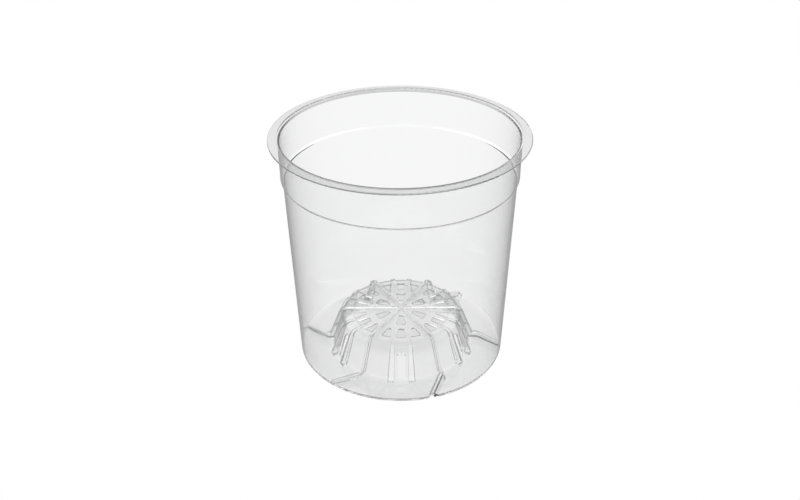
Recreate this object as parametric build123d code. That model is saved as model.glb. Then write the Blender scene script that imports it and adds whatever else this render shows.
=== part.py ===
"""Clear orchid pot with a slotted air dome, made as one injection moulding.

Millimetres, +Z up. The origin is the centre of the underside, on the surface that the pot stands on.
The pot is a thin shell of revolution: rim, collar, tapered wall, floor, and a dome that rises from the
floor. Six hollow ridges run from the middle of the dome over its shoulder, down its slope and across
the floor to the wall. Under them they are air channels, and two of them open at the foot of the wall.
Pairs of ribs stiffen the slope, and slots in the dome let air and water through.
"""

from build123d import *

import os
from math import cos, hypot, radians, sin, tan

# Rim, collar and wall
pot_height = 114.5
rim_diameter = 120.0
rim_thickness = 0.8
rim_fall = 0.6
rim_edge_radius = 0.3
lip_radius = 1.3
rim_overhang = 4.55
collar_height = 19.3
collar_draft = 0.15
collar_step = 1.2
step_radius = 0.4
collar_inset = 1.0
wall_draw = 3.55
base_edge_radius = 1.0
wall = 0.8

# Floor and dome
floor = 0.9
dome_height = 19.5
dome_crown = 1.6
dome_top_diameter = 58.4
dome_foot_diameter = 69.4
shoulder_radius = 3.0
foot_radius = 0.8

# Hollow ridges over the air channels
sector_count = 6
ridge_crest_width = 2.2
ridge_top = 20.0
ridge_rise_bend = 3.3
ridge_rise_wall = 2.4
ridge_shoulder_diameter = 60.0
ridge_foot_diameter = 72.6
ridge_depth = 4.2
ridge_edge_radius = 0.6
ridge_shoulder_radius = 4.7
ridge_foot_radius = 0.9
ridge_bend_diameter = 77.2
ridge_bend_radius = 2.7
ridge_sweep_angle = 10.3
flank_angle = 18.0
channel_roof = 0.95
channel_share = 0.1

# Outlets of two opposite channels at the foot of the wall
outlet_count = 2
outlet_sweep_angle = 14.0
outlet_height = 2.3
outlet_top_width = 2.6
outlet_bottom_width = 7.4

# Ribs over the shoulder and down the slope, a pair in each sector
rib_angle = 8.0
rib_top = 18.6
rib_shoulder_diameter = 60.4
rib_foot_diameter = 74.6
rib_shoulder_radius = 5.0
rib_top_width = 2.0
rib_foot_width = 3.1
rib_start = 22.0

# Slots in the top of the dome
inner_slot_start = 6.6
inner_slot_end = 13.6
inner_slot_start_width = 2.0
inner_slot_end_width = 5.0
ring_slot_start = 17.6
ring_slot_end = 24.0
middle_slot_start_width = 3.0
middle_slot_end_width = 4.6
side_slot_offset = 4.8
slot_ridge_distance = 2.7
slot_corner_radius = 0.6

# Arched windows low in the slope, one in each sector
window_width = 4.0
window_top = 13.6

# How far cutting shapes run past what they cut
reach = 5.0

# Derived places
rim_radius = rim_diameter / 2
collar_top_radius = rim_radius - rim_overhang
collar_radius = collar_top_radius - collar_draft
neck_radius = collar_radius - collar_inset
base_radius = neck_radius - wall_draw
dome_top_radius = dome_top_diameter / 2
dome_foot_radius = dome_foot_diameter / 2
rib_shoulder = rib_shoulder_diameter / 2
rib_foot = rib_foot_diameter / 2
lip_inside = collar_top_radius - wall
collar_foot = pot_height - collar_height
neck_height = collar_foot - collar_step
wall_lean = (neck_radius - base_radius) / neck_height
crown_lean = dome_crown / dome_top_radius
slope_lean = (dome_foot_radius - dome_top_radius) / (dome_height - dome_crown - floor)
rib_lean = (rib_foot - rib_shoulder) / (rib_top - floor)
sector_angle = 360 / sector_count


def dome_corners(out, level):
    """Apex, shoulder and foot of the dome's outline, OUT clear of its surface and cut off at a level."""
    apex = dome_height + out * hypot(1, crown_lean)
    ground = dome_foot_radius + floor * slope_lean + out * hypot(1, slope_lean)
    shoulder = (apex - crown_lean * ground) / (1 - crown_lean * slope_lean)
    return (0, apex), (ground - shoulder * slope_lean, shoulder), (ground - level * slope_lean, level)


def turned(corners):
    """Solid of revolution from (radius, height, corner radius) triples."""
    points = [(radius, height) for radius, height, _ in corners]
    outline = FilletPolyline(*points, radius=[corner for _, _, corner in corners], close=True)
    return revolve(Plane.XZ * make_face(outline.edges()), Axis.Z)


def around(solid, first_angle=0.0, count=sector_count):
    """Copies of a solid at even angles round the pot's axis."""
    return [Rot(0, 0, first_angle + turn * 360 / count) * solid for turn in range(count)]


def above_dome(ceiling, radius):
    """The space from the middle of the floor's and dome's thickness up to a ceiling, out to a radius."""
    inset = floor / 2
    apex, shoulder, foot = dome_corners(-inset, floor - inset)
    return turned([
        (*apex, 0),
        (*shoulder, shoulder_radius - inset),
        (*foot, 0),
        (radius, floor - inset, 0),
        (radius, ceiling, 0),
        (0, ceiling, 0),
    ])


def under_ceiling(ceiling, radius):
    """A plug from below the ground up to a ceiling, out to a radius."""
    return turned([(0, -reach, 0), (radius, -reach, 0), (radius, ceiling, 0), (0, ceiling, 0)])


def ridge_section(crest_width, top, bottom, edge_radius):
    """Section of a ridge, or of the hollow in it, whose crest of a given width is at the sketch's origin."""
    spread = tan(radians(flank_angle))
    half_top = crest_width / 2 - top * spread
    half_bottom = crest_width / 2 - bottom * spread
    outline = FilletPolyline(
        (-half_bottom, bottom),
        (-half_top, top),
        (half_top, top),
        (half_bottom, bottom),
        radius=[0, edge_radius, edge_radius, 0],
        close=True,
    )
    return make_face(outline.edges())


# The plain shell
def make_shell():
    rim_lean = rim_fall / (rim_radius - lip_inside)
    lip_corner = pot_height + lip_radius * (rim_lean + hypot(1, rim_lean) - 1)
    rim_edge = lip_corner - rim_fall
    under_apex, under_shoulder, under_foot = dome_corners(-floor, 0)
    apex, shoulder, foot = dome_corners(0, floor)
    return turned([
        (*under_apex, 0),
        (*under_shoulder, shoulder_radius - floor),
        (*under_foot, foot_radius + floor),
        (base_radius, 0, base_edge_radius),
        (neck_radius, neck_height, step_radius),
        (collar_radius, collar_foot, step_radius),
        (collar_top_radius, lip_corner - rim_lean * wall - rim_thickness, step_radius),
        (rim_radius, rim_edge - rim_thickness, rim_edge_radius),
        (rim_radius, rim_edge, rim_edge_radius),
        (lip_inside, lip_corner, lip_radius),
        (collar_radius - wall, collar_foot, step_radius),
        (neck_radius - wall, neck_height, step_radius),
        (base_radius + wall_lean * floor - wall, floor, base_edge_radius),
        (*foot, foot_radius),
        (*shoulder, shoulder_radius),
        (*apex, 0),
    ])


# Ridges, their channels and outlets
def ridge_run(sweep_angle):
    """Where a ridge's crest bends on the floor, where it meets the wall, and the direction between them."""
    bend = Vector(ridge_bend_diameter / 2, 0, floor + ridge_rise_bend)
    end = Vector(base_radius, 0, floor + ridge_rise_wall).rotate(Axis.Z, -sweep_angle)
    return bend, end, (end - bend).normalized()


def swept_ridge(section, sweep_angle):
    """A section swept along a ridge's crest: out along +X, down the slope, aslant over the floor."""
    bend, end, run = ridge_run(sweep_angle)
    path = FilletPolyline(
        (0, 0, ridge_top),
        (ridge_shoulder_diameter / 2, 0, ridge_top),
        (ridge_foot_diameter / 2, 0, bend.Z),
        bend,
        end + run * reach,
        radius=[ridge_shoulder_radius, ridge_foot_radius, ridge_bend_radius],
    )
    start = Plane(origin=(0, 0, ridge_top), x_dir=(0, 1, 0), z_dir=(1, 0, 0))
    return sweep(start * section, path)


def make_ridge(sweep_angle):
    section = ridge_section(ridge_crest_width, 0, -ridge_depth, ridge_edge_radius)
    return swept_ridge(section, sweep_angle) & above_dome(ridge_top + reach, base_radius - wall / 2)


def make_channel(sweep_angle):
    section = ridge_section(ridge_crest_width * channel_share, -channel_roof, -ridge_depth - floor / 2, 0)
    return swept_ridge(section, sweep_angle) & under_ceiling(ridge_top, base_radius - wall)


def make_outlet():
    end, run = ridge_run(outlet_sweep_angle)[1:]
    outward = Vector(run.X, run.Y, 0)
    across = Vector(0, 0, 1).cross(outward)
    mouth = Plane(origin=(end.X, end.Y, 0), x_dir=across, z_dir=outward)
    outline = Polyline(
        (-outlet_bottom_width / 2, 0),
        (-outlet_top_width / 2, outlet_height),
        (outlet_top_width / 2, outlet_height),
        (outlet_bottom_width / 2, 0),
        close=True,
    )
    cut = extrude(mouth * make_face(outline.edges()), reach, both=True)
    return cut - under_ceiling(pot_height, base_radius - wall)


# Ribs over the shoulder and down the slope
def tapered(start, end, start_width, end_width):
    """Plan of a strip along +X between two radii, with a width at each end."""
    outline = Polyline(
        (start, -start_width / 2),
        (end, -end_width / 2),
        (end, end_width / 2),
        (start, start_width / 2),
        close=True,
    )
    return make_face(outline.edges())


def make_rib():
    """A rib from its start radius over the shoulder to its foot on the floor."""
    end = rib_foot + reach
    widening = (rib_foot_width - rib_top_width) / (rib_foot - rib_shoulder)
    widths = [rib_top_width + (radius - rib_shoulder) * widening for radius in (rib_start, end)]
    strip = Pos(0, 0, -reach) * extrude(tapered(rib_start, end, *widths), rib_top + 2 * reach)
    ground = rib_foot + floor * rib_lean
    outline = turned([
        (0, -reach, 0),
        (ground + reach * rib_lean, -reach, 0),
        (ground - rib_top * rib_lean, rib_top, rib_shoulder_radius),
        (0, rib_top, 0),
    ])
    return strip & outline & above_dome(pot_height, base_radius)


# Slots in the top of the dome
def upright(sketch):
    """Upright prism on a plan sketch, through the top of the dome."""
    return Pos(0, 0, dome_height - reach) * extrude(sketch, 2 * reach)


def side_slot():
    """Slot between the web over a rib and the land beside a ridge, in the ring of slots."""
    slant = radians(sector_angle / 2)
    end = ring_slot_end + reach
    tip = (slot_ridge_distance + side_slot_offset * cos(slant)) / sin(slant)
    far = (end * sin(slant) - slot_ridge_distance) / cos(slant)
    wedge = Polyline((tip, side_slot_offset), (end, side_slot_offset), (end, far), close=True)
    return make_face(wedge.edges()) & (Circle(ring_slot_end) - Circle(ring_slot_start))


def make_slots():
    inner = tapered(inner_slot_start, inner_slot_end, inner_slot_start_width, inner_slot_end_width)
    middle = tapered(ring_slot_start, ring_slot_end, middle_slot_start_width, middle_slot_end_width)
    side = side_slot()
    sketches = [inner, middle, side, mirror(side, Plane.XZ)]
    return [upright(fillet(sketch.vertices(), slot_corner_radius)) for sketch in sketches]


# Windows in the slope
def make_window():
    start = Plane(origin=(dome_top_radius - reach, 0, 0), x_dir=(0, 1, 0), z_dir=(1, 0, 0))
    spring = window_top - window_width / 2
    arch = Pos(0, (spring + floor) / 2) * Rectangle(window_width, spring - floor)
    arch += Pos(0, spring) * Circle(window_width / 2)
    return extrude(start * arch, dome_foot_radius - dome_top_radius + 2 * reach)


# The whole moulding: of the six ridges, two opposite ones lead to outlets
half_sector = sector_angle / 2
ridges = []
cuts = around(make_outlet(), -sector_angle, outlet_count)
for turn in range(sector_count):
    leads_out = (turn + 1) % (sector_count // outlet_count) == 0
    sweep_angle = outlet_sweep_angle if leads_out else ridge_sweep_angle
    ridges.append(Rot(0, 0, turn * sector_angle) * make_ridge(sweep_angle))
    cuts.append(Rot(0, 0, turn * sector_angle) * make_channel(sweep_angle))
ribs = []
for angle in (half_sector - rib_angle, half_sector + rib_angle):
    ribs += around(make_rib(), angle)
for cut in [make_window()] + make_slots():
    cuts += around(cut, half_sector)
pot = make_shell() + ridges + ribs - cuts
print(f"pot: {len(pot.solids())} solid, {pot.volume / 1000:.1f} ml of plastic, valid {pot.is_valid}")

os.makedirs("parts", exist_ok=True)
export_step(pot, "parts/pot.step")
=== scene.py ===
# %% [markdown]
# # A clear orchid pot with a slotted air dome
# The real pot is one moulding in clear plastic: a tapered wall, a collar and a flat rim at the top, and a
# floor that rises in the middle to a dome. Long slots in the dome let air up to the roots, hollow ridges
# carry water out to the wall, and small ribs stand between them. A clear object is drawn almost only by
# its edges, so this lesson is about three things: the right shape, a clear plastic that bends and
# reflects light as the real one does, and a plain studio in which those edges show.

import math

import bpy
from mathutils import Matrix, Vector

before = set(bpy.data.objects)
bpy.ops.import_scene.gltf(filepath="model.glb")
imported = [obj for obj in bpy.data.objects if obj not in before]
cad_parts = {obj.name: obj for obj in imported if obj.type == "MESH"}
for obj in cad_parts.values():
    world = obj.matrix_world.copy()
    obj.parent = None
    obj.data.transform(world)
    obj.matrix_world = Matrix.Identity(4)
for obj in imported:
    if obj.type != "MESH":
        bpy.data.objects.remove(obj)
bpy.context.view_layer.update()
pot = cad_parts["pot"]

# %% [markdown]
# ## A way to write shaders
# A shader can be wired by hand in the node editor, but a formula is easier to read. This small class
# wraps one socket. An operator on it adds a Math node, so a line such as `0.02 + 0.03 * haze` becomes
# nodes by itself, and every other kind of node comes from the one method `add`.

# %% A socket with operators


class Flow:
    """A value that flows out of a socket. Operators on it add Math nodes to the same tree."""

    def __init__(self, tree, socket=None):
        self.tree = tree
        self.socket = socket

    def add(self, kind, settings=None, inputs=None, output=0):
        node = self.tree.nodes.new(kind)
        for name, setting in (settings or {}).items():
            setattr(node, name, setting)
        for name, value in (inputs or {}).items():
            if isinstance(value, Flow):
                self.tree.links.new(value.socket, node.inputs[name])
            else:
                node.inputs[name].default_value = value
        return Flow(self.tree, node.outputs[output]) if len(node.outputs) else node

    def calculate(self, operation, first, second):
        return self.add("ShaderNodeMath", {"operation": operation}, {0: first, 1: second})

    def looked_at(self):
        """1 for a ray that the camera sees, also through plastic or in a mirror, and 0 for other light."""
        seen = self.add("ShaderNodeLightPath", output="Is Camera Ray")
        through = self.add("ShaderNodeLightPath", output="Is Transmission Ray")
        mirrored = self.add("ShaderNodeLightPath", output="Is Glossy Ray")
        return seen + through + mirrored

    def distance_from(self, centre):
        """How far a point lies from a centre, in metres."""
        place = self.add("ShaderNodeTexCoord", output="Object")
        ends = {0: place, 1: centre}
        return self.add("ShaderNodeVectorMath", {"operation": "DISTANCE"}, ends, output="Value")

    def fade(self, start, end, first, last):
        """A smooth change from a first to a last value while this value goes from start to end."""
        return self.add("ShaderNodeMapRange", {"interpolation_type": "SMOOTHSTEP"}, {
            "Value": self, "From Min": start, "From Max": end, "To Min": first, "To Max": last})

    def in_mirror(self):
        """1 for a ray that was mirrored at least once on its way from the camera."""
        mirrored = self.add("ShaderNodeLightPath", output="Glossy Depth")
        return self.calculate("GREATER_THAN", mirrored, 0.5)

    def __add__(self, other):
        return self.calculate("ADD", self, other)

    __radd__ = __add__

    def __mul__(self, other):
        return self.calculate("MULTIPLY", self, other)

    __rmul__ = __mul__

    def __rsub__(self, other):
        return self.calculate("SUBTRACT", other, self)


def new_finish(name):
    finish = bpy.data.materials.new(name)
    finish.use_nodes = True
    finish.node_tree.nodes.clear()
    return finish, Flow(finish.node_tree)


print("shader helper ready")

# %% [markdown]
# ## Clear plastic
# The pot is polypropylene: clear, with a faint haze, and smooth but not as flat as glass, since a thin
# moulding shrinks a little unevenly as it cools. Glass could be faked with see-through alpha, but then no
# light would bend at the ridges. A Principled shader with full transmission bends it and loses a little
# at each surface, so one wall is paler than two. A soft noise varies the roughness, and a slow wave in
# the bump gives the slightly uneven surface.
#
# The moulding isn't equally clear all over. The dome is a little hazier than the wall, and the lip and the
# edge are satin. The rim is tinted grey, most of all inside its lip: this grey is painted shade, standing
# in for the darker reflections in the flange and the dark band that a rounder lip draws. Painted masks
# would need an unwrapped mesh. The pot is round, so the distance from its axis and the height above the
# ground say the same thing in two numbers.

# %% Make the clear plastic
wall_colour = (0.973, 0.975, 0.975, 1.0)
# Painted shade: the grey of the flange stands in for the darker reflections in it.
flange_painted_shade = (0.84, 0.842, 0.842, 1.0)
# Painted shade: the dark grey inside the lip stands in for the dark band that a rounder lip would draw.
lip_painted_shade = (0.42, 0.422, 0.422, 1.0)
dome_foot = (0.034, 0.038)
flange_radius, flange_height = (0.0557, 0.0562), (0.1118, 0.1124)
lip_radius, lip_height = (0.0562, 0.0566), (0.1126, 0.113)
lip_inside, lip_bottom, lip_top = (0.0551, 0.0554), (0.1126, 0.1129), (0.1139, 0.1143)
edge_radius = (0.0593, 0.0596)
gloss, haze_depth, dome_haze, satin = 0.03, 0.02, 0.06, 0.12

clear_plastic, plastic = new_finish("clear_plastic_finish")
place = plastic.add("ShaderNodeTexCoord", output="Object")
height = plastic.add("ShaderNodeSeparateXYZ", inputs={"Vector": place}, output="Z")
level = plastic.add("ShaderNodeVectorMath", {"operation": "MULTIPLY"}, {0: place, 1: (1, 1, 0)})
from_axis = plastic.add("ShaderNodeVectorMath", {"operation": "LENGTH"}, {0: level}, output="Value")
on_dome = from_axis.fade(*dome_foot, 1.0, 0.0)
# This mask puts the flange's painted shade on the flange.
flange_shade_mask = from_axis.fade(*flange_radius, 0.0, 1.0) * height.fade(*flange_height, 0.0, 1.0)
on_lip = from_axis.fade(*lip_radius, 1.0, 0.0) * height.fade(*lip_height, 0.0, 1.0)
# The band inside the lip where the painted shade is darkest.
inside_lip_shade_mask = from_axis.fade(*lip_inside, 1.0, 0.0)
inside_lip_shade_mask = inside_lip_shade_mask * height.fade(*lip_bottom, 0.0, 1.0) * height.fade(*lip_top, 1.0, 0.0)
on_edge = from_axis.fade(*edge_radius, 0.0, 1.0)
# The base colour carries the painted shade of the flange and the lip over the clear wall tint.
wall_and_flange_shade = plastic.add("ShaderNodeMix", {"data_type": "RGBA"},
                              {"Factor": flange_shade_mask, 6: wall_colour, 7: flange_painted_shade}, output=2)
colour_with_painted_shade = plastic.add("ShaderNodeMix", {"data_type": "RGBA"},
                     {"Factor": inside_lip_shade_mask, 6: wall_and_flange_shade, 7: lip_painted_shade}, output=2)
haze = plastic.add("ShaderNodeTexNoise", inputs={"Vector": place, "Scale": 90.0, "Detail": 3.0})
shrinkage = plastic.add("ShaderNodeTexNoise", inputs={"Vector": place, "Scale": 45.0, "Detail": 1.0})
surface = plastic.add("ShaderNodeBump", inputs={"Strength": 0.06, "Distance": 0.001, "Height": shrinkage})
shader = plastic.add("ShaderNodeBsdfPrincipled", inputs={
    "Base Color": colour_with_painted_shade,
    "Roughness": gloss + haze_depth * haze + dome_haze * on_dome + satin * (on_lip + on_edge),
    "IOR": 1.49,
    "Transmission Weight": 1.0,
    "Normal": surface,
})
plastic.add("ShaderNodeOutputMaterial", inputs={"Surface": shader})
pot.data.materials[0] = clear_plastic
print("clear plastic on", pot.name)

# %% [markdown]
# ## The ground
# The pot stands on a plain white sheet with no horizon. A sheet lit to white would need so much light
# that the pot washed out, so the sheet shines by itself for every ray that looks straight at it or
# through the plastic. In a mirror reflection the same sheet is only a mid tone: the edges of a clear
# thing are drawn by reflections of something darker than its background, which a photographer gets from
# grey flags around the table. A sheet that shines takes no shadow, so the shade under the pot is painted
# on it: darkest under the middle of the dome, lightest under its slotted slope.

# %% Lay the ground
ground_size = 3.0
ground_gap = 0.0002
paper_tone = 0.75
flag_tone = 0.4
core_centre, core_edge = (0, 0.012, 0), (0.018, 0.03)
dome_edge, pot_edge = (0.033, 0.038), (0.047, 0.0508)
core_tone, dome_tone, floor_tone = 0.77, 0.92, 0.79

ground_mesh = bpy.data.meshes.new("ground")
ground_corners = [(x * ground_size, y * ground_size, 0) for x, y in ((-1, -1), (1, -1), (1, 1), (-1, 1))]
ground_mesh.from_pydata(ground_corners, [], [(0, 1, 2, 3)])
ground = bpy.data.objects.new("ground", ground_mesh)
bpy.context.collection.objects.link(ground)
ground.location.z = -ground_gap

white_sheet, sheet = new_finish("white_sheet")
paper = sheet.add("ShaderNodeBsdfDiffuse", inputs={"Color": (paper_tone, paper_tone, paper_tone, 1.0)})
from_middle = sheet.distance_from((0, 0, 0))
under_dome = sheet.distance_from(core_centre).fade(*core_edge, core_tone, dome_tone)
under_floor = under_dome + (floor_tone - under_dome) * from_middle.fade(*dome_edge, 0.0, 1.0)
shadow = under_floor + (1 - under_floor) * from_middle.fade(*pot_edge, 0.0, 1.0)
in_mirror = sheet.in_mirror()
shine = sheet.add("ShaderNodeEmission", inputs={"Color": shadow * (1 - (1 - flag_tone) * in_mirror)})
looked_at = sheet.looked_at()
both = sheet.add("ShaderNodeMixShader", inputs={0: looked_at, 1: paper, 2: shine})
sheet.add("ShaderNodeOutputMaterial", inputs={"Surface": both})
ground_mesh.materials.append(white_sheet)
print("ground", [round(side, 2) for side in ground.dimensions])

# %% [markdown]
# ## A card behind the pot
# The top of the dome and the floor are level, so they mirror what is above and behind the pot. A white
# card there gives them the soft sheen of the real plastic. A card that stands would also show in the
# collar and in the rim, so this one lies level, just below the height of the rim. It must not show
# through the clear wall either, so it is solid only for rays that were mirrored at least once, and clear
# for all others.

# %% Lay the card behind the pot
card_half_width = 0.08
card_near, card_far = 0.07, 0.2
card_height = 0.112
card_shine = 1.6

card_mesh = bpy.data.meshes.new("card")
card_corners = [(-1, card_near), (1, card_near), (1, card_far), (-1, card_far)]
card_points = [(side * card_half_width, y, card_height) for side, y in card_corners]
card_mesh.from_pydata(card_points, [], [(0, 1, 2, 3)])
card = bpy.data.objects.new("card", card_mesh)
bpy.context.collection.objects.link(card)

white_card, board = new_finish("white_card")
clear = board.add("ShaderNodeBsdfTransparent")
bright = board.add("ShaderNodeEmission", inputs={"Strength": card_shine})
shown = board.add("ShaderNodeMixShader", inputs={0: board.in_mirror(), 1: clear, 2: bright})
board.add("ShaderNodeOutputMaterial", inputs={"Surface": shown})
card_mesh.materials.append(white_card)
print("card", [round(side, 2) for side in card.dimensions])

# %% [markdown]
# ## Lamps
# Three lamps at a plain level light the pot. One on each side brings out the step where the collar
# begins, which is a bright line at the back, and a wide panel in front lights the foot of the pot. They
# are large and weak, because a small strong lamp puts a sparkle on every edge of clear plastic.

# %% Hang the lamps


def soft_lamp(name, place, aim, width, height, power):
    lamp = bpy.data.lights.new(name, "AREA")
    lamp.shape = "RECTANGLE"
    lamp.size = width
    lamp.size_y = height
    lamp.energy = power
    holder = bpy.data.objects.new(name, lamp)
    bpy.context.collection.objects.link(holder)
    holder.location = place
    holder.rotation_euler = (Vector(aim) - Vector(place)).to_track_quat("-Z", "Y").to_euler()
    print(name, "at", place, power, "W")


pot_middle = (0, 0, 0.05)
soft_lamp("front_panel", (0.0, -1.5, 0.5), pot_middle, width=1.4, height=0.9, power=5.0)
for name, side in (("side_softbox_left", -1), ("side_softbox_right", 1)):
    soft_lamp(name, (side * 0.75, 0.0, 0.65), pot_middle, width=1.2, height=0.9, power=3.0)

# %% [markdown]
# ## The room
# Around the table is a plain pale grey room, which turns white where it is looked at straight or through
# the plastic, so that the picture has no horizon. Light in clear plastic is thrown about inside the wall
# many times before it leaves, so the limit on bounces goes up: with the usual limit those paths end in
# black, and every edge turns into an ink line.

# %% Paint the room
room_tone = 0.75

room = bpy.data.worlds.new("grey_room")
room.use_nodes = True
room.node_tree.nodes.clear()
walls = Flow(room.node_tree)
grey = walls.add("ShaderNodeBackground", inputs={"Color": (room_tone, room_tone, room_tone, 1.0)})
white = walls.add("ShaderNodeBackground", inputs={"Color": (1.0, 1.0, 1.0, 1.0)})
straight = walls.looked_at() * (1 - walls.in_mirror())
backdrop = walls.add("ShaderNodeMixShader", inputs={0: straight, 1: grey, 2: white})
walls.add("ShaderNodeOutputWorld", inputs={"Surface": backdrop})
bpy.context.scene.world = room

light_paths = bpy.context.scene.cycles
bounces = 32
light_paths.max_bounces = bounces
light_paths.glossy_bounces = bounces
light_paths.transmission_bounces = bounces
print("grey room of", room_tone, "with", bounces, "bounces")

# %% [markdown]
# ## The camera
# The shape of the rim's oval gives the height of the camera, and the way the pot narrows downwards gives
# its distance. It looks down at about 31 degrees from less than half a metre, leaning a third of a
# degree.

# %% Set up the camera
picture_width = 800
sensor_width = 36.0
focal_pixels = 971.196
eye_distance = 0.471772
eye_elevation = math.radians(30.5686)
aim_height = 0.052602
lean = -0.006111
centre_shift = 0.679

camera_data = bpy.data.cameras.new("camera")
camera_data.sensor_width = sensor_width
camera_data.lens = sensor_width * focal_pixels / picture_width
camera_data.shift_x = -centre_shift / picture_width
camera = bpy.data.objects.new("camera", camera_data)
bpy.context.collection.objects.link(camera)
toward = Vector((0, math.cos(eye_elevation), -math.sin(eye_elevation)))
eye = Vector((0, 0, aim_height)) - eye_distance * toward
turn = toward.to_track_quat("-Z", "Y").to_matrix().to_4x4()
camera.matrix_world = Matrix.Translation(eye) @ turn @ Matrix.Rotation(lean, 4, "Z")
bpy.context.scene.camera = camera
bpy.context.scene.view_settings.view_transform = "Standard"
print("camera lens", round(camera_data.lens, 2), "mm, eye at", [round(side, 4) for side in eye])
